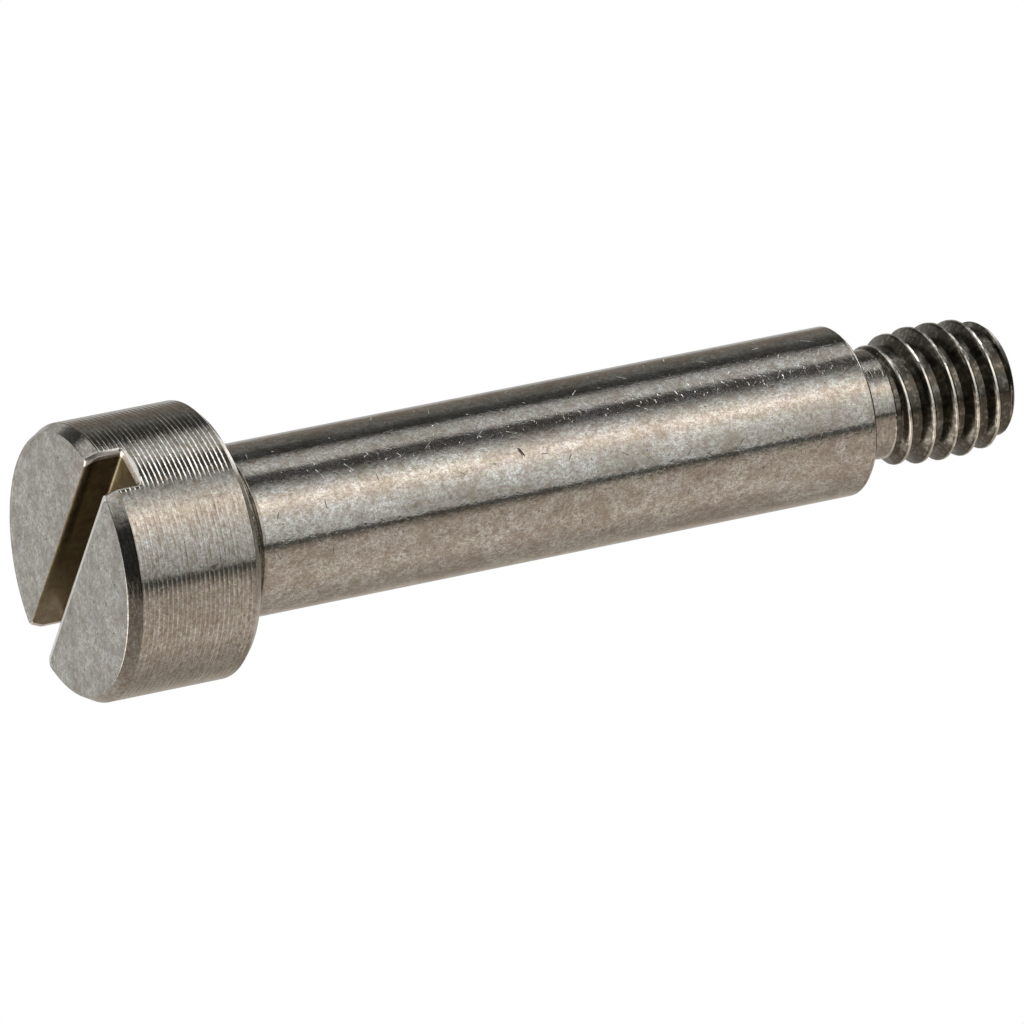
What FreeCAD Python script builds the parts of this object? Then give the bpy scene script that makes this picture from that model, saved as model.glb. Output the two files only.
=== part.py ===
import FreeCAD, Part
import math
import os

# A slotted shoulder bolt, turned from one bar of stainless steel. Sizes are in millimetres.
#
# The bolt stands on its head. The slotted face lies on z = 0, the shoulder rises from the
# head along +Z, and the threaded end is on top. The slot runs along X.
# A small lever, wheel or link turns on the ground shoulder. The head keeps it on, and the
# thread pulls the end of the shoulder tight against the wall that the bolt screws into.

# Head: a plain cylinder, bevelled at its face and at its underside.
head_diameter = 7.82
head_height = 4.06
face_bevel_height = 0.36
face_bevel_depth = 0.20
underside_bevel = 0.20

# Slot for the driver. It was cut a little off the head's middle.
slot_width = 1.16
slot_depth = 1.07
slot_off_centre = -0.13

# Shoulder, with a shallow relief at its root, so that the mating part seats flat on the head.
shoulder_diameter = 4.87
shoulder_length = 20.05
shoulder_edge_bevel = 0.08
relief_width = 0.74
relief_depth = 0.20

# Thread: M4, right-handed. The crests are a little under the nominal 4 mm, as cut threads are.
thread_crest_diameter = 3.93
thread_pitch = 0.70
thread_length = 3.87
thread_start_angle = 225.3      # degrees from X, where the first crest leaves the neck
flank_angle = 30.0              # degrees between a flank and the plane across the axis
crest_flat_share = 1 / 8        # share of the pitch that is left flat on a crest
depth_in_pitches = 0.541        # depth of a metric thread with a flat root

# The first crests are low: a cone rises from the neck, and a slow taper leads up to the full
# crests, as the first teeth of a threading die leave them.
start_cone_height = 0.46
start_taper_height = 0.98
start_taper_depth = 0.13

# Neck: the plain run between shoulder and thread, where the threading tool is drawn out.
neck_length_in_pitches = 1.5
neck_under_root = 0.01

# Tip: the last crests taper off too, down to a bevel, so that the thread starts easily.
tip_taper_height = 0.82
tip_taper_depth = 0.11
tip_bevel_height = 0.41
tip_bevel_depth = 0.30

# Radii and heights that follow from the sizes above.
head_radius = head_diameter / 2
shoulder_radius = shoulder_diameter / 2
crest_radius = thread_crest_diameter / 2
root_radius = crest_radius - depth_in_pitches * thread_pitch
neck_radius = root_radius - neck_under_root

shoulder_end = head_height + shoulder_length
neck_end = shoulder_end + neck_length_in_pitches * thread_pitch
tip_end = neck_end + thread_length

axis_foot = FreeCAD.Vector(0, 0, 0)
axis_up = FreeCAD.Vector(0, 0, 1)


def turned(outline):
    """The solid that an outline of (radius, height) corners gives when it is turned about Z."""
    corners = [FreeCAD.Vector(radius, 0, height) for radius, height in outline + outline[:1]]
    return Part.Face(Part.makePolygon(corners)).revolve(axis_foot, axis_up, 360)


def head_shoulder_and_neck():
    """The plain turned length, from the slotted face up to where the thread starts."""
    return turned([
        (0, 0),
        (head_radius - face_bevel_depth, 0),
        (head_radius, face_bevel_height),
        (head_radius, head_height - underside_bevel),
        (head_radius - underside_bevel, head_height),
        (shoulder_radius - relief_depth, head_height),
        (shoulder_radius - relief_depth, head_height + relief_width),
        (shoulder_radius, head_height + relief_width),
        (shoulder_radius, shoulder_end - shoulder_edge_bevel),
        (shoulder_radius - shoulder_edge_bevel, shoulder_end),
        (neck_radius, shoulder_end),
        (neck_radius, neck_end),
        (0, neck_end),
    ])


def groove_half_width(radius):
    """Half the width of the groove between two crests, at a distance from the axis."""
    at_crest = thread_pitch * (1 - crest_flat_share) / 2
    return at_crest + (radius - crest_radius) * math.tan(math.radians(flank_angle))


def threaded_rod():
    """A rod with the thread's groove along it, longer than the threaded end at both ends.

    The groove starts in the neck's length, half a pitch before the neck ends, so its blunt
    start is trimmed away later. It is swept a little past the crests, by less than would let
    two of its turns meet.
    """
    outer_radius = crest_radius + thread_pitch * crest_flat_share / 2
    section = [
        FreeCAD.Vector(radius, 0, side * groove_half_width(radius))
        for radius, side in ((root_radius, -1), (outer_radius, -1), (outer_radius, 1), (root_radius, 1))
    ]
    start = neck_end - thread_pitch / 2
    rise = thread_length + thread_pitch
    helix = Part.makeHelix(thread_pitch, rise, root_radius)
    groove = Part.Wire(helix).makePipeShell([Part.makePolygon(section + section[:1])], True, True)
    groove.rotate(axis_foot, axis_up, thread_start_angle)
    groove.translate(FreeCAD.Vector(0, 0, start))

    rod_start = FreeCAD.Vector(0, 0, start - thread_pitch)
    rod = Part.makeCylinder(crest_radius, rise + 2 * thread_pitch, rod_start)
    return rod.cut(groove)


def threaded_end():
    """The rod trimmed by a cone and a taper at its start and at its tip, where the thread fades."""
    start_cone_end = neck_end + start_cone_height
    tip_bevel_start = tip_end - tip_bevel_height
    tip_bevel_radius = crest_radius - tip_taper_depth
    return threaded_rod().common(turned([
        (0, neck_end),
        (neck_radius, neck_end),
        (crest_radius - start_taper_depth, start_cone_end),
        (crest_radius, start_cone_end + start_taper_height),
        (crest_radius, tip_bevel_start - tip_taper_height),
        (tip_bevel_radius, tip_bevel_start),
        (tip_bevel_radius - tip_bevel_depth, tip_end),
        (0, tip_end),
    ]))


def driver_slot():
    """The block that the slotting saw takes out of the head's face."""
    length = 2 * head_diameter
    corner = FreeCAD.Vector(-length / 2, slot_off_centre - slot_width / 2, -slot_depth)
    return Part.makeBox(length, slot_width, 2 * slot_depth, corner)


def shoulder_bolt():
    """The finished bolt: one solid."""
    blank = head_shoulder_and_neck().fuse(threaded_end()).removeSplitter()
    return blank.cut(driver_slot())


bolt = shoulder_bolt().Solids[0]
os.makedirs("parts", exist_ok=True)
bolt.exportStep("parts/shoulder_bolt.step")

box = bolt.optimalBoundingBox()
print("valid", bolt.isValid(), "faces", len(bolt.Faces), "volume", round(bolt.Volume, 2), "mm3")
print("box", [round(side, 3) for side in (box.XLength, box.YLength, box.ZLength)], "mm")
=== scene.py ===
# %% [markdown]
# # A slotted shoulder bolt
# The object is one small turned piece of stainless steel, 29 mm long: a slotted head, a long
# plain shoulder, a neck and a short thread. It stands on its head, on z = 0, as its CAD does.
# Nearly all of its look comes from two things: the exact shape of its surfaces, down to the
# tool marks, and what those surfaces mirror. So the lesson has two halves, form and light.

# %% The frame
import math
import random

import bmesh
import bpy
from mathutils import Matrix, Vector


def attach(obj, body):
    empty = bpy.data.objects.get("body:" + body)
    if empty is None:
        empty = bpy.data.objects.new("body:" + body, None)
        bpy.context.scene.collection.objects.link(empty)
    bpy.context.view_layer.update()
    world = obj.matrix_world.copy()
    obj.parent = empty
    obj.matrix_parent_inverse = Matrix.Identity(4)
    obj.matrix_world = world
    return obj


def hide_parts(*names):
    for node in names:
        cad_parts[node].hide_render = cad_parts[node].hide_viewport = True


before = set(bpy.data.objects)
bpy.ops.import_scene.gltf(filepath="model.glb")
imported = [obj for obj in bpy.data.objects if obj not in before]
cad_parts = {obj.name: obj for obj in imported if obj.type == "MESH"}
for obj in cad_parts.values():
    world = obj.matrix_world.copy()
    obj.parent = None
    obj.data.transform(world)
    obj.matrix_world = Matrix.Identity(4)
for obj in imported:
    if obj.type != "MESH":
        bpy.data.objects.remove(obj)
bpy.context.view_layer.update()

# %% [markdown]
# ## Sizes
# A drawing of a bolt is in millimetres, and Blender works in metres. The sizes are written
# once, in millimetres, and turned to metres where a mesh is made. Heights are measured along
# the axis from the slotted face.

# %% Sizes from the drawing, in millimetres
MM = 0.001

head_radius, head_height = 3.91, 4.06
face_bevel_height, face_bevel_depth = 0.36, 0.20
underside_bevel = 0.20
shoulder_radius, shoulder_end = 2.435, 24.11
shoulder_edge_bevel = 0.08
relief_radius, relief_end = 2.235, 4.80
slot_width, slot_depth, slot_off_centre = 1.16, 1.07, -0.13
crest_radius, root_radius, neck_radius = 1.965, 1.586, 1.576
neck_end, tip_end = 25.16, 29.03
pitch = 0.70
start_cone_height, start_taper_height, start_taper_depth = 0.46, 0.98, 0.13
tip_taper_height, tip_taper_depth = 0.82, 0.11
tip_bevel_height, tip_bevel_depth = 0.41, 0.30
crest_height_at_x = 26.122      # height of one crest's middle, on the side that faces +X
sides = 256                     # how many flat sides stand for each round

# %% [markdown]
# ## Helpers
# Colours are picked as sRGB hex values, as on a colour card, but the renderer reckons with
# linear light, so one function turns them over. A second small function adds a node with its
# settings and its links, for every kind of node tree. The next ones begin, end and run a
# Geometry Nodes tree, with named inputs, so that a reader can find each size by its name in the
# modifier. The last one makes an object of a shape whose faces were built one by one.

# %% Helpers for colours and node trees
def linear(hex_colour):
    """The linear RGBA value of an sRGB hex colour."""
    parts = [int(hex_colour[i:i + 2], 16) / 255 for i in (1, 3, 5)]
    return tuple(c / 12.92 if c <= 0.04045 else ((c + 0.055) / 1.055) ** 2.4 for c in parts) + (1.0,)


def add(tree, kind, links=None, **settings):
    """Adds a node. Links maps an input's name or number to a value, a node or an output."""
    node = tree.nodes.new(kind)
    for name, value in settings.items():
        setattr(node, name, value)
    for key, value in (links or {}).items():
        if isinstance(value, bpy.types.Node):
            value = value.outputs[0]
        if isinstance(value, bpy.types.NodeSocket):
            tree.links.new(value, node.inputs[key])
        else:
            node.inputs[key].default_value = value
    return node


def geometry_tree(name, inputs):
    """An empty Geometry Nodes tree with named inputs, and its input node."""
    tree = bpy.data.node_groups.new(name, "GeometryNodeTree")
    tree.interface.new_socket("Geometry", in_out="INPUT", socket_type="NodeSocketGeometry")
    tree.interface.new_socket("Geometry", in_out="OUTPUT", socket_type="NodeSocketGeometry")
    for label, kind in inputs.items():
        tree.interface.new_socket(label, in_out="INPUT", socket_type=kind)
    return tree, add(tree, "NodeGroupInput")


def finish_tree(tree, geometry, finish):
    """Ends a tree: smooth faces, no instances left, one finish."""
    smooth = add(tree, "GeometryNodeSetShadeSmooth", {"Geometry": geometry})
    real = add(tree, "GeometryNodeRealizeInstances", {"Geometry": smooth})
    faced = add(tree, "GeometryNodeSetMaterial", {"Geometry": real, "Material": finish})
    add(tree, "NodeGroupOutput", {"Geometry": faced})


def run_tree(tree, points, values):
    """Runs a tree on a mesh of loose points, and returns the result as a plain mesh."""
    start = bpy.data.meshes.new("start")
    start.from_pydata(points, [], [])
    carrier = bpy.data.objects.new("carrier", start)
    bpy.context.scene.collection.objects.link(carrier)
    modifier = carrier.modifiers.new("tree", "NODES")
    modifier.node_group = tree
    for socket in tree.interface.items_tree:
        if socket.in_out == "INPUT" and socket.name in values:
            modifier[socket.identifier] = values[socket.name]
    evaluated = carrier.evaluated_get(bpy.context.evaluated_depsgraph_get())
    made = bpy.data.meshes.new_from_object(evaluated)
    bpy.data.objects.remove(carrier)
    bpy.data.meshes.remove(start)
    return made


def as_object(name, shape, finishes):
    """A linked object with the faces of a bmesh and a list of finishes."""
    mesh = bpy.data.meshes.new(name)
    shape.to_mesh(mesh)
    shape.free()
    for finish in finishes:
        mesh.materials.append(finish)
    made = bpy.data.objects.new(name, mesh)
    bpy.context.scene.collection.objects.link(made)
    return made


print("a mid grey in linear light", round(linear("#808080")[0], 3))

# %% [markdown]
# ## The steel's finishes
# The whole bolt is one metal, free-cutting stainless steel: a warm light grey that mirrors
# about six tenths of the light. A picture shows the metal's colour times that of the card it
# mirrors, so the metal here is a little lighter, and the cards are darker to match. What
# differs from place to place is how the surface was made. The shoulder is ground, the head's
# side keeps the rings of the turning tool, the face is tumbled dull, the slot is sawn, and the
# thread is cut. A picture texture could show all that, but noise patterns that read the
# object's own coordinates in real millimetres hold up at any distance and from any side. Metal
# has no body colour under its mirror, so each finish is a colour for the mirror, a roughness,
# and small bumps that break it up.
# The colours of dents, scratches, the slot and the thread's grooves are also darkened with painted shade.

# %% One mark on the steel, and scratches strewn over it
def groove(tree, from_middle, turn, length, width):
    """A mask of one short groove, from the flat offset to its middle, in units of the pattern."""
    own_way = add(tree, "ShaderNodeVectorRotate", {"Vector": from_middle, "Angle": turn}, rotation_type="Z_AXIS")
    own_size = add(tree, "ShaderNodeVectorMath", {0: own_way, 1: (2 / length, 2 / width, 0)}, operation="MULTIPLY")
    from_line = add(tree, "ShaderNodeVectorMath", {0: own_size}, operation="LENGTH").outputs["Value"]
    return add(tree, "ShaderNodeMapRange",
               {"Value": from_line, "From Min": 0.4, "From Max": 1.0, "To Min": 1.0, "To Max": 0.0})


def scratches(tree, place, cell, length, width, share):
    """A mask of short scratches, in mm: one in a share of the cells, each turned its own way."""
    cells = add(tree, "ShaderNodeVectorMath", {0: place, "Scale": 1 / (cell * MM)}, operation="SCALE")
    near = add(tree, "ShaderNodeTexVoronoi", {"Vector": cells, "Scale": 1.0, "Randomness": 0.9},
               voronoi_dimensions="2D")
    dice = add(tree, "ShaderNodeSeparateColor", {0: near.outputs["Color"]})
    from_middle = add(tree, "ShaderNodeVectorMath", {0: cells, 1: near.outputs["Position"]}, operation="SUBTRACT")
    own_turn = add(tree, "ShaderNodeMath", {0: dice, 1: 2 * math.pi}, operation="MULTIPLY")
    line = groove(tree, from_middle, own_turn, length / cell, width / cell)
    chosen = add(tree, "ShaderNodeMath", {0: dice.outputs["Green"], 1: share}, operation="LESS_THAN")
    return add(tree, "ShaderNodeMath", {0: line, 1: chosen}, operation="MULTIPLY")


# %% One function for the steel, with the marks that each way of working leaves
def steel(name, colour, dark_colour, roughness, grain, stains,
          pits=None, marks=(), radius=None, nick=None, groove_shade=None):
    """Stainless steel with one way of working's finish.

    Grain holds (x, y, z, depth) in mm, for bumps of about that size in each direction. Stains
    holds (x, y, z, strength) for patches of the darker colour. Pits is (size, depth, strength),
    for small dents whose colour is darkened with painted shade. Marks holds (cell, length,
    width, share, depth, strength) for scratches, darkened with painted shade of that strength.
    They are laid on the bar's unrolled side where a radius is given, and on the
    flat face where none is. A nick is one deeper mark, as (arc, height, length, width, turn,
    depth, strength), with the same painted shade. The last argument is (colour, roughness) for
    the depth of a thread's grooves: the colour there is a painted shade, and the roughness
    dulls them.
    """
    material = bpy.data.materials.new(name)
    material.use_nodes = True
    tree = material.node_tree
    shader = tree.nodes["Principled BSDF"]
    place = add(tree, "ShaderNodeTexCoord").outputs["Object"]

    def patches(size, detail, rough):
        """Noise in patches of a size in mm, along x, y and z."""
        stretched = add(tree, "ShaderNodeMapping", {"Vector": place, "Scale": [1 / (side * MM) for side in size]})
        return add(tree, "ShaderNodeTexNoise",
                   {"Vector": stretched, "Scale": 1.0, "Detail": detail, "Roughness": rough})

    normal = None
    for *size, depth in grain:
        links = {"Height": patches(size, 2.0, 0.5).outputs["Fac"], "Strength": 1.0, "Distance": depth * MM}
        if normal:
            links["Normal"] = normal
        normal = add(tree, "ShaderNodeBump", links)

    # stains and the dull bottoms of small dents, darker and a shade warmer or cooler
    base = linear(colour)
    for *size, strength in stains:
        noise = patches(size, 3.0, 0.6)
        shade = add(tree, "ShaderNodeMapRange",
                    {"Value": noise.outputs["Fac"], "From Min": 0.42, "From Max": 0.66, "To Max": strength})
        base = add(tree, "ShaderNodeMix", {0: shade, 6: base, 7: linear(dark_colour)}, data_type="RGBA").outputs[2]
        base = add(tree, "ShaderNodeMix", {0: 0.08 * strength, 6: base, 7: noise.outputs["Color"]},
                   data_type="RGBA", blend_type="LINEAR_LIGHT").outputs[2]

    # scratches, the nick and pits: one mask each dents the steel and darkens its colour there, a painted shade in the
    # dent
    dent_shade_colour = linear("#3e3b36")
    laid = place
    if radius:
        spot = add(tree, "ShaderNodeSeparateXYZ", {0: place})
        bearing = add(tree, "ShaderNodeMath", {0: spot.outputs["Y"], 1: spot.outputs["X"]}, operation="ARCTAN2")
        arc = add(tree, "ShaderNodeMath", {0: bearing, 1: radius * MM}, operation="MULTIPLY")
        laid = add(tree, "ShaderNodeCombineXYZ", {"X": arc, "Y": spot.outputs["Z"]}).outputs[0]
    masks = [(scratches(tree, laid, *mark[:4]), mark[4], mark[5]) for mark in marks]
    if nick:
        arc, height, length, width, turn, depth, strength = nick
        from_nick = add(tree, "ShaderNodeVectorMath", {0: laid, 1: (arc * MM, height * MM, 0)}, operation="SUBTRACT")
        masks.append((groove(tree, from_nick, math.radians(-turn), length * MM, width * MM), depth, strength))
    if pits:
        size, depth, strength = pits
        dents = patches((size, size, size), 2.0, 0.5).outputs["Fac"]
        deep = add(tree, "ShaderNodeMapRange", {"Value": dents, "From Min": 0.58, "From Max": 0.84})
        masks.append((deep, depth, strength))
    for mask, depth, strength in masks:
        normal = add(tree, "ShaderNodeBump",
                     {"Height": mask, "Strength": 1.0, "Distance": depth * MM, "Normal": normal}, invert=True)
        shade = add(tree, "ShaderNodeMath", {0: mask, 1: strength}, operation="MULTIPLY")
        base = add(tree, "ShaderNodeMix", {0: shade, 6: base, 7: dent_shade_colour}, data_type="RGBA").outputs[2]

    # painted shade darkens the groove from a few hundredths of a millimetre below the crest, in patches, and the
    # steel is rougher there
    if groove_shade:
        groove_shade_colour, groove_roughness = groove_shade
        depth = add(tree, "ShaderNodeAttribute", attribute_name="below_crest").outputs["Fac"]
        groove_shade_share = add(tree, "ShaderNodeMapRange", {"Value": depth, "From Min": 0.010 * MM, "From Max": 0.034 * MM})
        shade_patches = patches((0.16, 0.16, 0.16), 3.0, 0.6).outputs["Fac"]
        shade_cover = add(tree, "ShaderNodeMapRange", {"Value": shade_patches, "From Min": 0.38, "From Max": 0.50, "To Min": 0.85})
        groove_shade_share = add(tree, "ShaderNodeMath", {0: groove_shade_share, 1: shade_cover}, operation="MULTIPLY")
        base = add(tree, "ShaderNodeMix", {0: groove_shade_share, 6: base, 7: linear(groove_shade_colour)}, data_type="RGBA").outputs[2]
        dull = add(tree, "ShaderNodeMapRange", {"Value": groove_shade_share, "To Min": roughness, "To Max": groove_roughness})
        tree.links.new(dull.outputs[0], shader.inputs["Roughness"])
    else:
        shader.inputs["Roughness"].default_value = roughness
    tree.links.new(base, shader.inputs["Base Color"])
    tree.links.new(normal.outputs[0], shader.inputs["Normal"])
    shader.inputs["Metallic"].default_value = 1.0
    return material


# %% The six finishes
# Ground: the wheel leaves a close satin, and use adds stains, pits and a few short scratches.
# One nick is deep enough to show bright sides. Pits, scratches and the nick are darkened with painted shade.
# Reflections are sharp but ragged.
ground_steel = steel(
    "stainless_steel_ground", "#fafaf9", "#9c9385", 0.09,
    grain=[(0.45, 0.45, 0.60, 0.0036), (0.16, 0.16, 0.22, 0.0026), (0.06, 0.06, 0.07, 0.0014)],
    stains=[(1.1, 1.1, 1.6, 0.45), (0.34, 0.34, 0.40, 0.55), (0.10, 0.10, 0.12, 0.7), (0.04, 0.04, 0.05, 0.8)],
    pits=(0.17, 0.003, 0.4), marks=[(0.60, 0.09, 0.04, 0.2, 0.005, 0.5), (0.85, 0.34, 0.032, 0.45, 0.005, 0.6)],
    radius=shoulder_radius, nick=(0.876, 13.04, 0.36, 0.09, 24.5, 0.02, 0.9))
# Turned: the tool's rings catch the light as fine bright lines round the head, and the stains
# are drawn out along them.
turned_steel = steel(
    "stainless_steel_turned", "#e1dfdc", "#90887b", 0.10,
    grain=[(1.5, 1.5, 0.06, 0.0014), (0.22, 0.22, 0.06, 0.0022)],
    stains=[(0.8, 0.8, 0.22, 0.4), (0.35, 0.35, 0.06, 0.5), (0.14, 0.14, 0.10, 0.7), (0.05, 0.05, 0.05, 0.7)],
    pits=(0.20, 0.002, 0.4))
# Faced and tumbled: small dents all over make it an even, dull grey, with a few pits and scratches darkened by
# painted shade.
faced_steel = steel(
    "stainless_steel_tumbled", "#e6e2dc", "#8d8981", 0.28,
    grain=[(0.16, 0.16, 0.16, 0.004), (0.07, 0.07, 0.07, 0.002)],
    stains=[(1.3, 1.3, 1.3, 0.55), (0.40, 0.40, 0.40, 0.6), (0.13, 0.13, 0.13, 0.7), (0.05, 0.05, 0.05, 0.6)],
    pits=(0.17, 0.012, 0.4), marks=[(0.7, 0.11, 0.07, 0.35, 0.010, 0.8)])
# Rolled over: the slot's edges were rubbed bright by the other bolts in the barrel.
rolled_steel = steel("stainless_steel_rolled_edge", "#fdfbf7", "#dcd8d1", 0.34,
                     grain=[(0.10, 0.10, 0.10, 0.002)], stains=[(0.3, 0.3, 0.3, 0.4)])
# Sawn: fine lines along the slot, and a dark brown colour that is painted shade in the slot and on one edge of its
# mouth.
slot_shade_steel = steel("stainless_steel_sawn_painted_shade", "#9a8f78", "#655c4a", 0.28,
                   grain=[(1.2, 0.05, 0.05, 0.0014), (0.09, 0.09, 0.09, 0.0022)],
                   stains=[(0.5, 0.5, 0.5, 0.6), (0.3, 0.05, 0.05, 0.35)])
# Cut: painted shade darkens the groove from a little below the crests, where the steel is also rougher, and the
# crests are rubbed bright.
cut_steel = steel("stainless_steel_cut", "#f6f3ec", "#a8a49c", 0.15,
                  grain=[(0.5, 0.5, 0.06, 0.0010), (0.14, 0.14, 0.14, 0.0030)],
                  stains=[(0.2, 0.2, 0.2, 0.4)], groove_shade=("#59554d", 0.20))
print("finishes", [m.name for m in bpy.data.materials if m.name.startswith("stainless")])

# %% [markdown]
# ## Turning the plain lengths
# A lathe turns a bar against a tool, so each plain length is a flat outline spun about the
# axis. Blender can spin an outline by a modifier or an operator. Here a Geometry Nodes tree
# does it: a grid of points takes its radius and height from the outline's points in one
# direction and its angle from the other. One tree then makes every length, and the number of
# sides is a named input.
#
# No corner on the real bolt is truly sharp, and the thin bright lines on its edges are light
# in their tiny rounds. So each corner of an outline is given a small round. An extra point
# just before and after a round keeps the flat beside it flat in smooth shading.

# %% The tree that turns an outline
lathe, given = geometry_tree("turned from an outline", {"Sides": "NodeSocketInt", "Finish": "NodeSocketMaterial"})
outline_shape = given.outputs["Geometry"]
counted = add(lathe, "GeometryNodeAttributeDomainSize", {"Geometry": outline_shape}, component="MESH")
outline_points = counted.outputs["Point Count"]
around = add(lathe, "ShaderNodeMath", {0: given.outputs["Sides"], 1: 1.0}, operation="ADD")
grid = add(lathe, "GeometryNodeMeshGrid",
           {"Size X": 1.0, "Size Y": 1.0, "Vertices X": outline_points, "Vertices Y": around})
own_place = add(lathe, "GeometryNodeInputPosition")
spot = add(lathe, "ShaderNodeSeparateXYZ", {0: own_place})
last = add(lathe, "ShaderNodeMath", {0: outline_points, 1: 1.0}, operation="SUBTRACT")
along = add(lathe, "ShaderNodeMath", {0: spot.outputs["X"], 1: 0.5}, operation="ADD")
free_step = add(lathe, "ShaderNodeMath", {0: along, 1: last}, operation="MULTIPLY")
step = add(lathe, "ShaderNodeMath", {0: free_step}, operation="ROUND")
turn = add(lathe, "ShaderNodeMath", {0: spot.outputs["Y"], 1: 2 * math.pi, 2: math.pi}, operation="MULTIPLY_ADD")
point = add(lathe, "GeometryNodeSampleIndex", {"Geometry": outline_shape, "Value": own_place, "Index": step},
            data_type="FLOAT_VECTOR", domain="POINT")
turned_point = add(lathe, "ShaderNodeVectorRotate", {"Vector": point, "Angle": turn}, rotation_type="Z_AXIS")
spun = add(lathe, "GeometryNodeSetPosition", {"Geometry": grid, "Position": turned_point})
closed = add(lathe, "GeometryNodeMergeByDistance", {"Geometry": spun, "Distance": 1e-7})
finish_tree(lathe, closed, given.outputs["Finish"])
print("the lathe's tree has", len(lathe.nodes), "nodes")


# %% Outlines with rounded corners, and the lengths that they give
def outline(*corners):
    """Points along (radius, height, round) corners, with each corner rounded by its last number."""
    path = [Vector(corners[0][:2])]
    for before, (radius, height, size), after in zip(corners, corners[1:], corners[2:]):
        corner = Vector((radius, height))
        inward, outward = (Vector(end[:2]) - corner for end in (before, after))
        inward.normalize()
        outward.normalize()
        path.append(corner + inward * size * 1.35)
        for part in (0, 0.25, 0.5, 0.75, 1):
            path.append(corner + inward * size * (1 - part) ** 2 + outward * size * part ** 2)
        path.append(corner + outward * size * 1.35)
    return path + [Vector(corners[-1][:2])]


def turned(points, finish):
    """A length of the bolt, from an outline of (radius, height) points in millimetres."""
    flat = [(radius * MM, 0, height * MM) for radius, height in points]
    return run_tree(lathe, flat, {"Sides": sides, "Finish": finish})


# %% [markdown]
# ## Tool rings on the head
# The head's side was turned with a coarse feed, 0.144 mm for each turn of the bar. A round
# nosed tool leaves a shallow trough each time, with a sharp ridge between two troughs. They
# are only a few thousandths of a millimetre deep, but they tilt the mirror up and down, and
# that is why the head shows bright and dark rings where a white card's edge is reflected. They
# are real shape here, not bumps, so that they also hold in the mesh. Each trough has its own
# depth, from a fixed seed, because no tool runs quite evenly. Points close to each ridge keep
# it sharp in smooth shading.

# %% Head, relief, shoulder and neck
ring_feed, ring_depth = 0.144, 0.0065
ring_points = (0, 0.08, 0.35, 0.65, 0.92)   # where a trough has its points, in shares of the feed
tool = random.Random(11)
ring_start, ring_stop = face_bevel_height + 0.05, head_height - underside_bevel - 0.04
ring_count = round((ring_stop - ring_start) / ring_feed)
rings = []
for ring in range(ring_count):
    depth = ring_depth * tool.uniform(0.8, 1.2)
    for part in ring_points:
        height = ring_start + (ring + part) * (ring_stop - ring_start) / ring_count
        rings.append(Vector((head_radius - depth * (1 - (2 * part - 1) ** 2), height)))

# where one finish ends on a flat and the next begins
face_edge = head_radius - face_bevel_depth
tumbled_until = face_edge - 0.06
underside_inner = shoulder_radius + 0.4
ground_from, ground_until = relief_end + 0.1, shoulder_end - 0.2
neck_from = shoulder_end + 0.4
neck_last_ring = neck_end - 0.03        # keeps the neck evenly shaded up to the thread's fine points
tip_radius = crest_radius - tip_taper_depth - tip_bevel_depth
tip_inner = tip_radius - 0.1
rim_height = 0.04                       # so low that the groove's root runs out above it
rim_depth = tip_bevel_depth * rim_height / tip_bevel_height

bevelled_face = outline((tumbled_until, 0, 0), (face_edge, 0, 0.022),
                        (head_radius, face_bevel_height, 0.03), (head_radius, ring_start, 0))
bevelled_underside = outline((head_radius, ring_stop, 0), (head_radius, head_height - underside_bevel, 0.02),
                             (head_radius - underside_bevel, head_height, 0.025), (underside_inner, head_height, 0))
relief = outline((underside_inner, head_height, 0), (relief_radius, head_height, 0.06),
                 (relief_radius, relief_end, 0.05), (shoulder_radius, relief_end, 0.02),
                 (shoulder_radius, ground_from, 0))
end_of_shoulder = outline((shoulder_radius, ground_until, 0),
                          (shoulder_radius, shoulder_end - shoulder_edge_bevel, 0.02),
                          (shoulder_radius - shoulder_edge_bevel, shoulder_end, 0.02),
                          (neck_radius, shoulder_end, 0.10), (neck_radius, neck_from, 0))
tip_rim = outline((tip_radius + rim_depth, tip_end - rim_height, 0), (tip_radius, tip_end, 0.035),
                  (tip_inner, tip_end, 0))
lengths = {
    "face": turned([(0, 0), (1.3, 0), (2.6, 0), (tumbled_until, 0)], faced_steel),
    "head side": turned(bevelled_face[:-1] + rings + bevelled_underside, turned_steel),
    "relief": turned(relief, turned_steel),
    "shoulder": turned([(shoulder_radius, ground_from), (shoulder_radius, ground_until)], ground_steel),
    "shoulder end": turned(end_of_shoulder, turned_steel),
    "neck": turned([(neck_radius, height) for height in (neck_from, neck_last_ring, neck_end)], turned_steel),
    "tip": turned(tip_rim, rolled_steel),
    "tip face": turned([(tip_inner, tip_end), (0.75, tip_end), (0, tip_end)], faced_steel),
}
for name, mesh in lengths.items():
    print(name, len(mesh.vertices), "points")

# %% [markdown]
# ## The thread
# A thread is the one shape here that no spin can make: the tool moves along while the bar
# turns. Blender has a Screw modifier, but its ends stop dead. This tree lays a grid round the
# bar whose rows climb by one pitch in each turn, so that every edge of the thread lies along a
# row and stays clean. A point's distance from the nearest crest gives its radius: flat crest,
# 60 degree V, flat root. The crests stand lower at both ends, so the thread fades in and runs
# out as a real one does, and noise from the object's own coordinates tears them a little. Soft
# minimums and maximums round the edges, and points past either end are pulled onto it and
# merged. The tree also stores how far each point lies below the crest, for the painted shade
# in the groove.

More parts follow.
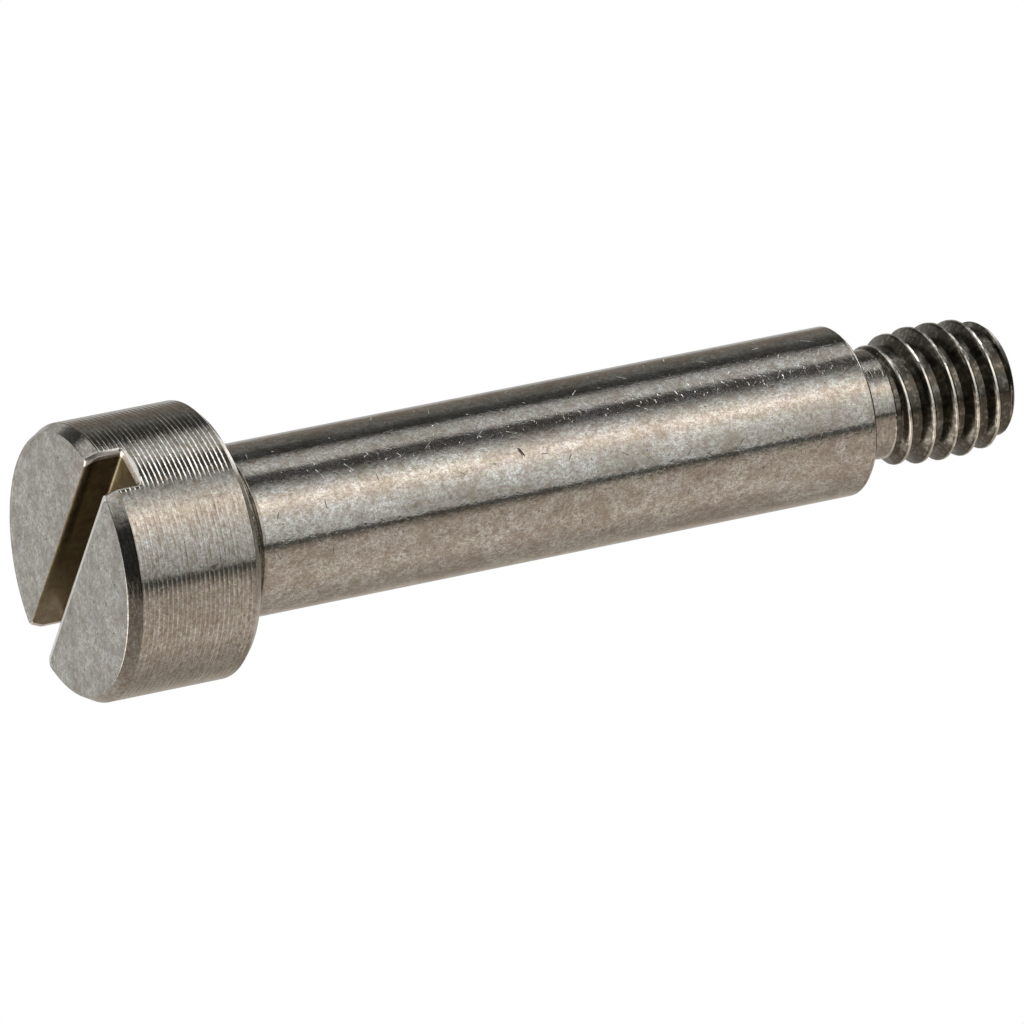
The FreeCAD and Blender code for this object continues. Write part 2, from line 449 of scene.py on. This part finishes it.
# %% The tree that cuts the thread
crest_flat_share, flank_angle = 1 / 8, 30   # of the pitch, and degrees from the plane across the axis
tear_size = 0.16                            # of one torn place, in mm
thread_sizes = {
    "Pitch": pitch, "Crest Radius": crest_radius, "Root Radius": root_radius, "Neck Radius": neck_radius,
    "Start": neck_end, "End": tip_end - rim_height, "Crest Height": crest_height_at_x,
    "Start Cone Height": start_cone_height, "Start Taper Height": start_taper_height,
    "Start Taper Depth": start_taper_depth, "Tip Taper Height": tip_taper_height, "Tip Taper Depth": tip_taper_depth,
    "Tip Bevel Height": tip_bevel_height - rim_height, "Tip Bevel Depth": tip_bevel_depth - rim_depth,
    "Edge Round": 0.03, "Tearing": 0.03,
}
helix, given = geometry_tree("helical thread", {
    **{name: "NodeSocketFloat" for name in thread_sizes},
    "Rows per Pitch": "NodeSocketInt", "Sides": "NodeSocketInt", "Finish": "NodeSocketMaterial",
})
size = {socket.name: socket for socket in given.outputs}

# a sheet of points: each row climbs by one pitch round the bar, and starts one pitch below it
length = add(helix, "ShaderNodeMath", {0: size["End"], 1: size["Start"]}, operation="SUBTRACT")
swept = add(helix, "ShaderNodeMath", {0: length, 1: size["Pitch"]}, operation="ADD")
turns = add(helix, "ShaderNodeMath", {0: swept, 1: size["Pitch"]}, operation="DIVIDE")
needed = add(helix, "ShaderNodeMath", {0: turns, 1: size["Rows per Pitch"]}, operation="MULTIPLY")
rows = add(helix, "ShaderNodeMath", {0: needed}, operation="CEIL")
row_height = add(helix, "ShaderNodeMath", {0: size["Pitch"], 1: size["Rows per Pitch"]}, operation="DIVIDE")
row_points = add(helix, "ShaderNodeMath", {0: rows, 1: 1.0}, operation="ADD")
side_points = add(helix, "ShaderNodeMath", {0: size["Sides"], 1: 1.0}, operation="ADD")
sheet = add(helix, "GeometryNodeMeshGrid",
            {"Size X": 1.0, "Size Y": 1.0, "Vertices X": row_points, "Vertices Y": side_points})
where = add(helix, "ShaderNodeSeparateXYZ", {0: add(helix, "GeometryNodeInputPosition")})
turned_share = add(helix, "ShaderNodeMath", {0: where.outputs["Y"], 1: 0.5}, operation="ADD")
angle = add(helix, "ShaderNodeMath", {0: turned_share, 1: 2 * math.pi}, operation="MULTIPLY")
row = add(helix, "ShaderNodeMath", {0: where.outputs["X"], 1: 0.5}, operation="ADD")
free_number = add(helix, "ShaderNodeMath", {0: row, 1: rows}, operation="MULTIPLY")
row_number = add(helix, "ShaderNodeMath", {0: free_number}, operation="ROUND")
climbed = add(helix, "ShaderNodeMath", {0: row_number, 1: row_height, 2: size["Start"]},
              operation="MULTIPLY_ADD")
row_foot = add(helix, "ShaderNodeMath", {0: climbed, 1: size["Pitch"]}, operation="SUBTRACT")
free_height = add(helix, "ShaderNodeMath", {0: turned_share, 1: size["Pitch"], 2: row_foot},
                  operation="MULTIPLY_ADD")
height = add(helix, "ShaderNodeClamp", {"Value": free_height, "Min": size["Start"], "Max": size["End"]})

# distance from the nearest crest's middle, along the axis
crest_line = add(helix, "ShaderNodeMath", {0: turned_share, 1: size["Pitch"], 2: size["Crest Height"]},
                 operation="MULTIPLY_ADD")
above = add(helix, "ShaderNodeMath", {0: height, 1: crest_line}, operation="SUBTRACT")
in_pitches = add(helix, "ShaderNodeMath", {0: above, 1: size["Pitch"]}, operation="DIVIDE")
nearest = add(helix, "ShaderNodeMath", {0: in_pitches}, operation="ROUND")
beyond = add(helix, "ShaderNodeMath", {0: in_pitches, 1: nearest}, operation="SUBTRACT")
off_share = add(helix, "ShaderNodeMath", {0: beyond}, operation="ABSOLUTE")
off_crest = add(helix, "ShaderNodeMath", {0: off_share, 1: size["Pitch"]}, operation="MULTIPLY")

# how high the crest stands: a cone and a taper lead up from the neck, and a taper down to the tip
crest_middle = add(helix, "ShaderNodeMath", {0: nearest, 1: size["Pitch"], 2: crest_line},
                   operation="MULTIPLY_ADD")
cone_top = add(helix, "ShaderNodeMath", {0: size["Start"], 1: size["Start Cone Height"]}, operation="ADD")
full_from = add(helix, "ShaderNodeMath", {0: cone_top, 1: size["Start Taper Height"]}, operation="ADD")
low_start = add(helix, "ShaderNodeMath", {0: size["Crest Radius"], 1: size["Start Taper Depth"]},
                operation="SUBTRACT")
bevel_foot = add(helix, "ShaderNodeMath", {0: size["End"], 1: size["Tip Bevel Height"]}, operation="SUBTRACT")
full_until = add(helix, "ShaderNodeMath", {0: bevel_foot, 1: size["Tip Taper Height"]}, operation="SUBTRACT")
low_tip = add(helix, "ShaderNodeMath", {0: size["Crest Radius"], 1: size["Tip Taper Depth"]},
              operation="SUBTRACT")
bevelled_tip = add(helix, "ShaderNodeMath", {0: low_tip, 1: size["Tip Bevel Depth"]}, operation="SUBTRACT")


def lowered(radius, at, foot, foot_radius, top, top_radius):
    """The smaller of a radius and the straight line from (foot, foot_radius) to (top, top_radius)."""
    line = add(helix, "ShaderNodeMapRange", {"Value": at, "From Min": foot, "From Max": top,
                                             "To Min": foot_radius, "To Max": top_radius}, clamp=False)
    return add(helix, "ShaderNodeMath", {0: radius, 1: line}, operation="MINIMUM")


crest_top = lowered(size["Crest Radius"], crest_middle, size["Start"], size["Neck Radius"], cone_top, low_start)
crest_top = lowered(crest_top, crest_middle, cone_top, low_start, full_from, size["Crest Radius"])
crest_top = lowered(crest_top, crest_middle, full_until, size["Crest Radius"], bevel_foot, low_tip)

# a flat crest, then a flank, with the edge between them rounded
flat_half = add(helix, "ShaderNodeMath", {0: size["Pitch"], 1: crest_flat_share / 2}, operation="MULTIPLY")
down_flank = add(helix, "ShaderNodeMath", {0: off_crest, 1: flat_half}, operation="SUBTRACT")
fall = 1 / math.tan(math.radians(flank_angle))
drop = add(helix, "ShaderNodeMath", {0: down_flank, 1: fall}, operation="MULTIPLY")
flank = add(helix, "ShaderNodeMath", {0: crest_top, 1: drop}, operation="SUBTRACT")
topped = add(helix, "ShaderNodeMath", {0: flank, 1: crest_top, 2: size["Edge Round"]}, operation="SMOOTH_MIN")

# the die tears the crests a little, and less the deeper it cuts
crest_place = add(helix, "ShaderNodeCombineXYZ", {"X": crest_top, "Z": height})
wound_crest = add(helix, "ShaderNodeVectorRotate", {"Vector": crest_place, "Angle": angle}, rotation_type="Z_AXIS")
torn = add(helix, "ShaderNodeTexNoise", {"Vector": wound_crest, "Scale": 1 / (tear_size * MM), "Detail": 2.0})
tooth = add(helix, "ShaderNodeMapRange",
            {"Value": topped, "From Min": size["Root Radius"], "From Max": size["Crest Radius"]})
torn_tooth = add(helix, "ShaderNodeMath", {0: torn.outputs["Fac"], 1: tooth}, operation="MULTIPLY")
tear = add(helix, "ShaderNodeMath", {0: torn_tooth, 1: size["Tearing"]}, operation="MULTIPLY")
worn = add(helix, "ShaderNodeMath", {0: topped, 1: tear}, operation="SUBTRACT")
rooted = add(helix, "ShaderNodeMath", {0: worn, 1: size["Root Radius"], 2: size["Edge Round"]},
             operation="SMOOTH_MAX")

# the neck's own radius at the very start, and the bevel at the tip, which cut straight across
radius = lowered(rooted, height, size["Start"], size["Neck Radius"], cone_top, size["Crest Radius"])
radius = lowered(radius, height, bevel_foot, low_tip, size["End"], bevelled_tip)
below_crest = add(helix, "ShaderNodeMath", {0: crest_top, 1: radius}, operation="SUBTRACT")
beside = add(helix, "ShaderNodeCombineXYZ", {"X": radius, "Z": height})
wound = add(helix, "ShaderNodeVectorRotate", {"Vector": beside, "Angle": angle}, rotation_type="Z_AXIS")
measured = add(helix, "GeometryNodeStoreNamedAttribute",
               {"Geometry": sheet, "Name": "below_crest", "Value": below_crest}, data_type="FLOAT", domain="POINT")
cut = add(helix, "GeometryNodeSetPosition", {"Geometry": measured, "Position": wound})
trimmed = add(helix, "GeometryNodeMergeByDistance", {"Geometry": cut, "Distance": 1e-7})
finish_tree(helix, trimmed, size["Finish"])

lengths["thread"] = run_tree(helix, [(0, 0, 0)], {
    **{name: value * MM for name, value in thread_sizes.items()},
    "Rows per Pitch": 24, "Sides": sides, "Finish": cut_steel,
})
print("thread", len(lengths["thread"].vertices), "points")

# %% [markdown]
# ## One closed skin
# The lengths meet ring on ring, with the same number of sides, so their open rims can be
# merged into one closed skin. A closed skin is what the slot's cut needs, and what a 3-D
# printer or a physics program would need too.

# %% Joining the lengths
skin = bmesh.new()
finishes = [faced_steel, turned_steel, ground_steel, cut_steel, slot_shade_steel, rolled_steel]
for mesh in lengths.values():
    first = len(skin.faces)
    skin.from_mesh(mesh)
    skin.faces.ensure_lookup_table()
    for face in skin.faces[first:]:
        face.material_index = finishes.index(mesh.materials[face.material_index])
rim = {point for edge in skin.edges if len(edge.link_faces) == 1 for point in edge.verts}
bmesh.ops.remove_doubles(skin, verts=list(rim), dist=0.008 * MM)
bmesh.ops.recalc_face_normals(skin, faces=skin.faces)
if skin.calc_volume(signed=True) < 0:
    bmesh.ops.reverse_faces(skin, faces=skin.faces)
open_edges = sum(len(edge.link_faces) != 2 for edge in skin.edges)
print("open edges", open_edges, "volume in cubic mm", round(skin.calc_volume() / MM ** 3, 1))
bolt = as_object("slotted_shoulder_bolt", skin, finishes)

# %% [markdown]
# ## Sawing the slot
# A saw with a blade as wide as the slot runs across the face, a little off its middle. The cut
# is a Boolean difference, which follows the round head by itself. The cutter isn't a plain box.
# It flares at the mouth, and all round the head's side, where each of its walls turns outwards
# in a quarter round. So every edge of the slot is rolled over, as the tumbling barrel left it.
# The rolls at the slot's ends and one of the two along its mouth are rubbed bright. The other
# one has the same dark brown painted shade as the inside. The flare has to follow the round
# side, so each of the cutter's sections is bent to the head's own outline.

# %% The cutter and the cut
# reach and width of the rolls where the slot leaves the head's side
end_rolls = {"wall": (0.26, 0.24), "floor": (0.05, 0.05)}
# width and height of the rolls along the mouth, on the side that faces +Y and on the other
mouth_rolls = {1: (0.15, 0.045), -1: (0.04, 0.05)}
floor_corner = 0.10                     # the saw's worn teeth leave the floor's corners rounded
cutter_end = 1.5 * head_radius          # well outside the head
sharp_from = math.radians(32)           # an edge that turns by more than this stays sharp
half_width = slot_width / 2


def rolled(offset, reach, width):
    """How far a rolled edge has turned outwards, at an offset from the head's side.

    It starts nine tenths of its reach inside the side, and just outside it flares on straight.
    """
    along = max(0.0, offset / reach + 0.9)
    return width * (1 - math.sqrt(1 - min(along, 0.95) ** 2)) + 1.5 * max(0.0, offset - 0.05 * reach)


def saw_section(offset):
    """The saw's cut at an offset from the side, as (x, y, z) in mm, round from mouth to mouth."""
    wide = half_width + rolled(offset, *end_rolls["wall"])
    deep = slot_depth + rolled(offset, *end_rolls["floor"])
    points = []
    for side in (1, -1):
        roll_width, roll_height = mouth_rolls[side]
        half = [(wide + 2 * roll_width, -1.5 * roll_height), (wide + roll_width, 0),
                (wide + 0.45 * roll_width, 0.35 * roll_height), (wide, roll_height),
                (wide, face_bevel_height), (wide, deep - floor_corner)]
        half += [(wide - floor_corner * (1 - math.cos(t)), deep - floor_corner * (1 - math.sin(t)))
                 for t in (math.pi / 8, math.pi / 4, 3 * math.pi / 8, math.pi / 2)]
        points += [(side * y, z) for y, z in (half if side == 1 else reversed(half))]
    bent = []
    for y, z in points:
        bevelled = face_bevel_depth * (1 - min(max(z / face_bevel_height, 0), 1))
        y += slot_off_centre
        bent.append((math.sqrt((head_radius - bevelled + offset) ** 2 - y ** 2), y, z))
    return bent


cutter_mesh = bmesh.new()
stations = []
wall_reach = end_rolls["wall"][0]
offsets = [wall_reach * (math.sin(math.radians(turn)) - 0.9) for turn in (0, 15, 28, 40, 51, 61, 71.8)] + [0.3]
for side, offset in [(-1, offset) for offset in reversed(offsets)] + [(1, offset) for offset in offsets]:
    stations.append([cutter_mesh.verts.new((side * x * MM, y * MM, z * MM)) for x, y, z in saw_section(offset)])
caps = [[cutter_mesh.verts.new((x * MM, point.co.y, point.co.z)) for point in station]
        for x, station in ((-cutter_end, stations[0]), (cutter_end, stations[-1]))]
stations = caps[:1] + stations + caps[1:]
round_about = len(stations[0])
for number, (left, right) in enumerate(zip(stations, stations[1:])):
    for i in range(round_about):
        following = (i + 1) % round_about
        face = cutter_mesh.faces.new((left[i], left[following], right[following], right[i]))
        # inside the head, the slot's walls and floor and the mouth roll on the -Y side take the sawn finish with its
        # painted shade; the +Y mouth roll and the flared ends take the rolled finish
        in_mouth = i < 3 or following == 0
        through_head = number == len(offsets)
        face.material_index = int(in_mouth or not through_head)
for end in (stations[0], stations[-1]):
    cutter_mesh.faces.new(end).material_index = 1
bmesh.ops.triangulate(cutter_mesh, faces=cutter_mesh.faces)
bmesh.ops.recalc_face_normals(cutter_mesh, faces=cutter_mesh.faces)
for face in cutter_mesh.faces:
    face.smooth = True
print("volume of the cutter in cubic mm", round(cutter_mesh.calc_volume(signed=True) / MM ** 3, 2))
saw = as_object("saw", cutter_mesh, (slot_shade_steel, rolled_steel))

sawing = bolt.modifiers.new("slot", "BOOLEAN")
sawing.operation = "DIFFERENCE"
sawing.solver = "EXACT"
sawing.material_mode = "TRANSFER"
sawing.object = saw
sawn = bpy.data.meshes.new_from_object(bolt.evaluated_get(bpy.context.evaluated_depsgraph_get()))
bolt.modifiers.clear()
bolt.data = sawn
bpy.data.objects.remove(saw)
sawn.set_sharp_from_angle(angle=sharp_from)
check = bmesh.new()
check.from_mesh(sawn)
print("after sawing: open edges", sum(len(edge.link_faces) != 2 for edge in check.edges),
      "volume in cubic mm", round(check.calc_volume() / MM ** 3, 1),
      "triangles", sum(len(face.verts) - 2 for face in check.faces))
print("finishes on the bolt", [m.name for m in sawn.materials])
check.free()
depths = [0.0] * len(sawn.vertices)
sawn.attributes["below_crest"].data.foreach_get("value", depths)
print("deepest point of the thread below its crest, in mm", round(max(depths) / MM, 3))

# %% [markdown]
# ## The bolt in the frame
# The dressed bolt stands for the plain CAD node and rides on the object's one body.

# %% Riding on the body
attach(bolt, "root")
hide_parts("shoulder_bolt")
print("bolt rides on root")

# %% [markdown]
# ## The camera
# The picture was taken through a long lens from well off the head's side, so the bolt's sides
# run nearly parallel. The bolt stands on its head here, so the same view is from below the
# floor and rolled over. The place is given by two angles, a roll and a distance.

# %% Camera
camera_azimuth, camera_elevation, camera_roll = (math.radians(angle) for angle in (34.62, -25.53, 78.56))
aim, distance = Vector((-0.560, 0.811, 13.534)) * MM, 346.12 * MM
back = Vector((math.cos(camera_elevation) * math.cos(camera_azimuth),
               math.cos(camera_elevation) * math.sin(camera_azimuth), math.sin(camera_elevation)))
level = Vector((0, 0, 1)).cross(back).normalized()
upright = back.cross(level)
up = math.cos(camera_roll) * upright - math.sin(camera_roll) * level
camera = bpy.data.objects.new("camera", bpy.data.cameras.new("camera"))
camera.data.sensor_width = 36
camera.data.lens = 436.53
camera.data.clip_start, camera.data.clip_end = 0.01, 20
turned_to = Matrix((up.cross(back), up, back)).transposed().to_4x4()
camera.matrix_world = Matrix.Translation(aim + back * distance) @ turned_to
bpy.context.scene.collection.objects.link(camera)
bpy.context.scene.camera = camera
print("camera at", [round(v, 4) for v in camera.location])

# %% [markdown]
# ## What the steel mirrors
# A polished round bar shows its surroundings as bands along its length. The direction that it
# mirrors turns twice as fast as its surface, so half of the bar shows the whole room. The room
# here is a light tent: cloth all around the bolt, hung with white, cream, grey and black cards.
# Only mirrors see the tent. The camera sees the white behind it.
#
# The cards are placed by the angle on the bolt's side where each shows, from -90 at the top of
# the picture to 90 at the bottom, because that is how one sets up such a tent: by looking at
# the bar while moving the cards. They hang in three rows. The middle row is what the bar's side
# shows. The upper row holds the white card that the head's tool rings catch, so that they turn
# into bright and dark lines. The bevel of the head's face mirrors the lower row. Under it all
# is a white table, which only the steep sides of dents and nicks show, as bright specks.

# %% The cards
card_colours = {"white": "#ffffff", "grey": "#fbfaf7", "green grey": "#f6f8f0", "cream": "#fff5ea", "warm": "#fff2e4"}
middle_row = [
    (-90, "grey", 0.48), (-84, "grey", 0.55), (-80, "grey", 0.54), (-76, "warm", 0.28), (-70, "warm", 0.22),
    (-61, "green grey", 0.18), (-57, "green grey", 0.085), (-50.5, "green grey", 0.045), (-48, "grey", 0.30),
    (-44, "grey", 0.54), (-38, "grey", 0.66), (-36, "grey", 0.38), (-34, "grey", 0.08), (-29, "grey", 0.08),
    (-26, "grey", 0.26), (-20, "grey", 0.80), (-13, "cream", 1.33), (-9, "cream", 1.08), (-3, "grey", 0.91),
    (2, "grey", 0.75), (8, "grey", 0.59), (11.8, "grey", 0.52), (13.2, "green grey", 0.10),
    (15.4, "green grey", 0.10), (17, "warm", 0.28), (21, "warm", 0.51), (43, "warm", 0.60), (55, "warm", 0.44),
    (68, "warm", 0.38), (78, "warm", 0.49), (83, "cream", 0.50), (90, "grey", 0.38),
]
upper_row = [
    (-90, "green grey", 0.12), (-84, "green grey", 0.12), (-81, "grey", 2.0), (-70, "grey", 1.20),
    (-60, "green grey", 0.42), (-54, "green grey", 0.75), (-50, "white", 1.5), (-40, "white", 2.3),
    (-36, "white", 2.8), (-29, "white", 2.6), (-26.5, "grey", 0.40), (-20, "grey", 0.95), (-13, "cream", 1.55),
    (-2, "grey", 1.05), (8, "grey", 0.72), (12, "grey", 0.48), (15, "green grey", 0.24), (20, "warm", 0.66),
    (44, "warm", 0.85), (68, "warm", 0.65), (80, "warm", 0.60), (90, "grey", 0.46),
]
lower_row = [
    (-90, "grey", 0.62), (-76, "grey", 0.75), (-70, "grey", 0.55), (-65, "green grey", 0.12),
    (-57, "green grey", 0.06), (-52, "grey", 0.70), (-30, "grey", 0.88), (-24, "grey", 0.75), (-17, "grey", 0.42),
    (-10, "green grey", 0.03), (17, "green grey", 0.03), (22, "warm", 0.20), (40, "warm", 0.30),
    (70, "warm", 0.50), (90, "grey", 0.62),
]
table_row = [
    (-90, "white", 0.80), (-72, "grey", 0.3), (-50, "grey", 0.3), (-42, "cream", 1.2), (-28, "green grey", 0.10),
    (10, "green grey", 0.05), (24, "warm", 1.0), (50, "cream", 2.2), (80, "white", 2.0), (90, "white", 0.80),
]


def hang(ramp, row):
    """Sets a colour ramp's stops to a row of (angle on the bar, card, brightness)."""
    stops = ramp.color_ramp.elements
    while len(stops) > 1:
        stops.remove(stops[0])
    for number, (angle, card, brightness) in enumerate(row):
        place = (angle + 90) / 180
        stop = stops.new(place) if number else stops[0]
        stop.position = place
        stop.color = tuple(part * brightness for part in linear(card_colours[card])[:3]) + (1.0,)
    return ramp


# %% The tent's cloth
cloth = bpy.data.materials.new("tent cloth")
cloth.use_nodes = True
cloth.node_tree.nodes.clear()
weave = cloth.node_tree
spot = add(weave, "ShaderNodeSeparateXYZ", {0: add(weave, "ShaderNodeTexCoord").outputs["Object"]})
bearing = add(weave, "ShaderNodeMath", {0: spot.outputs["Y"], 1: spot.outputs["X"]}, operation="ARCTAN2")
from_camera = add(weave, "ShaderNodeMath", {0: bearing, 1: camera_azimuth - math.pi}, operation="SUBTRACT")
turns_round = add(weave, "ShaderNodeMath", {0: from_camera, 1: 2 * math.pi}, operation="DIVIDE")
share = add(weave, "ShaderNodeMath", {0: turns_round}, operation="FRACT")
outwards = add(weave, "ShaderNodeCombineXYZ", {"X": spot.outputs["X"], "Y": spot.outputs["Y"]})
away = add(weave, "ShaderNodeVectorMath", {0: outwards}, operation="LENGTH").outputs["Value"]
steepness = add(weave, "ShaderNodeMath", {0: spot.outputs["Z"], 1: away}, operation="DIVIDE")
cards, *higher_rows = (hang(add(weave, "ShaderNodeValToRGB", {0: share}), row)
                       for row in (table_row, lower_row, middle_row, upper_row))
# where each row gives way to the next, as height over distance. A smooth side mirrors 25.5
# degrees up, and the upper row starts some way above that
upper_edge = math.tan(math.radians(30.7))
edges = ((-0.78, -0.62), (0.06, 0.2), (upper_edge - 0.02, upper_edge + 0.02))
for (low, high), row in zip(edges, higher_rows):
    above = add(weave, "ShaderNodeMapRange", {"Value": steepness, "From Min": low, "From Max": high})
    cards = add(weave, "ShaderNodeMix", {0: above, 6: cards, 7: row}, data_type="RGBA").outputs[2]
# the roof: grey where the back of the head looks, black overhead, where the thread looks
roof = add(weave, "ShaderNodeMapRange", {"Value": steepness, "From Min": 1.2, "From Max": 1.6})
overhead = add(weave, "ShaderNodeMapRange", {"Value": steepness, "From Min": 2.6, "From Max": 4.0})
roof_cloth = add(weave, "ShaderNodeMix", {0: overhead, 6: linear("#a5a29c"), 7: linear("#2a2724")},
                 data_type="RGBA").outputs[2]
seen = add(weave, "ShaderNodeMix", {0: roof, 6: cards, 7: roof_cloth}, data_type="RGBA").outputs[2]
add(weave, "ShaderNodeOutputMaterial", {0: add(weave, "ShaderNodeEmission", {"Color": seen, "Strength": 1.0})})

tent_radius, tent_height, tent_sides = 2.0, 8.0, 96     # the first two in metres
tent_mesh = bmesh.new()
bmesh.ops.create_cone(tent_mesh, cap_ends=True, segments=tent_sides, radius1=tent_radius, radius2=tent_radius,
                      depth=tent_height)
tent = as_object("light_tent", tent_mesh, [cloth])
tent.visible_camera = tent.visible_diffuse = tent.visible_shadow = tent.visible_transmission = False
print("cards in the tent", len(table_row) + len(lower_row) + len(middle_row) + len(upper_row))

# %% [markdown]
# ## Lamps
# Two large soft lamps stand high on both sides and light the floor, and whatever dull surface
# looks at them. Mirrors don't show them, and see the tent's cards in their place.

# %% Lamps
lamp_size, lamp_distance = 0.35, 0.7        # in metres


def soft_lamp(name, bearing, elevation, watts, colour):
    """A square soft lamp that points at the bolt's middle, and that mirrors don't show."""
    light = bpy.data.lights.new(name, "AREA")
    light.shape = "SQUARE"
    light.size = lamp_size
    light.energy = watts
    light.color = linear(colour)[:3]
    lamp = bpy.data.objects.new(name, light)
    a, e = math.radians(bearing), math.radians(elevation)
    towards = Vector((math.cos(e) * math.cos(a), math.cos(e) * math.sin(a), math.sin(e)))
    middle = Vector((0, 0, tip_end / 2 * MM))
    lamp.location = middle + towards * lamp_distance
    lamp.rotation_euler = towards.to_track_quat("Z", "Y").to_euler()
    lamp.visible_glossy = False
    bpy.context.scene.collection.objects.link(lamp)
    return lamp


bearing_of_camera = math.degrees(camera_azimuth)
left_lamp = soft_lamp("left_lamp", bearing_of_camera - 100, 50, 0.8, "#fffaf2")
right_lamp = soft_lamp("right_lamp", bearing_of_camera + 120, 62, 0.6, "#ffffff")
print("lamps", left_lamp.name, right_lamp.name)

# %% [markdown]
# ## Floor and background
# The background is white because it is painted white, not because it is flooded with light.
# Only what the camera and the mirrors see of the world is that white. The floor is a pale
# sheet that keeps the bolt's shadow and fades out into the white. From below it lets every
# ray through, and so it does for mirrors, which see the tent's lower cards instead. It has a
# round hole under the head, so that the slotted face is lit.

# %% World and floor
world = bpy.data.worlds.new("white room")
bpy.context.scene.world = world
world.use_nodes = True
sky = world.node_tree
sky.nodes.clear()
path = add(sky, "ShaderNodeLightPath")
mirrors = add(sky, "ShaderNodeMath", {0: path.outputs["Is Glossy Ray"], 1: path.outputs["Is Transmission Ray"]},
              operation="ADD")
shown = add(sky, "ShaderNodeMath", {0: path.outputs["Is Camera Ray"], 1: mirrors}, operation="ADD", use_clamp=True)
fill = add(sky, "ShaderNodeBackground", {"Color": linear("#f4f4f2"), "Strength": 0.85})
white = add(sky, "ShaderNodeBackground", {"Color": (1, 1, 1, 1), "Strength": 1.0})
add(sky, "ShaderNodeOutputWorld", {0: add(sky, "ShaderNodeMixShader", {0: shown, 1: fill, 2: white})})

paper = bpy.data.materials.new("floor paper")
paper.use_nodes = True
fibres = paper.node_tree
fibres.nodes.clear()
own_place = add(fibres, "ShaderNodeTexCoord").outputs["Object"]
from_bolt = add(fibres, "ShaderNodeVectorMath", {0: own_place}, operation="LENGTH").outputs["Value"]
faded = add(fibres, "ShaderNodeMapRange", {"Value": from_bolt, "From Min": 0.03, "From Max": 0.13},
            interpolation_type="SMOOTHSTEP")
underneath = add(fibres, "ShaderNodeNewGeometry").outputs["Backfacing"]
for_mirrors = add(fibres, "ShaderNodeLightPath").outputs["Is Glossy Ray"]
hidden = add(fibres, "ShaderNodeMath", {0: underneath, 1: for_mirrors}, operation="MAXIMUM")
clear = add(fibres, "ShaderNodeMath", {0: faded, 1: hidden}, operation="MAXIMUM")
matt = add(fibres, "ShaderNodeBsdfDiffuse", {"Color": linear("#f2f1ee")})
see_through = add(fibres, "ShaderNodeBsdfTransparent")
paper_look = add(fibres, "ShaderNodeMixShader", {0: clear, 1: matt, 2: see_through})
add(fibres, "ShaderNodeOutputMaterial", {0: paper_look})

floor_radius, floor_drop, floor_sides = 0.14, 0.01 * MM, 96     # the first two in metres
hole_radius = (face_edge + 0.02) * MM
floor_mesh = bmesh.new()
hole, rim = ([floor_mesh.verts.new((r * math.cos(2 * math.pi * i / floor_sides),
                                    r * math.sin(2 * math.pi * i / floor_sides), -floor_drop))
              for i in range(floor_sides)] for r in (hole_radius, floor_radius))
for i in range(floor_sides):
    following = (i + 1) % floor_sides
    floor_mesh.faces.new((hole[i], rim[i], rim[following], hole[following]))
floor = as_object("floor", floor_mesh, [paper])
print("floor faces up:", floor.data.polygons[0].normal.z > 0)

bpy.context.scene.view_settings.view_transform = "Standard"
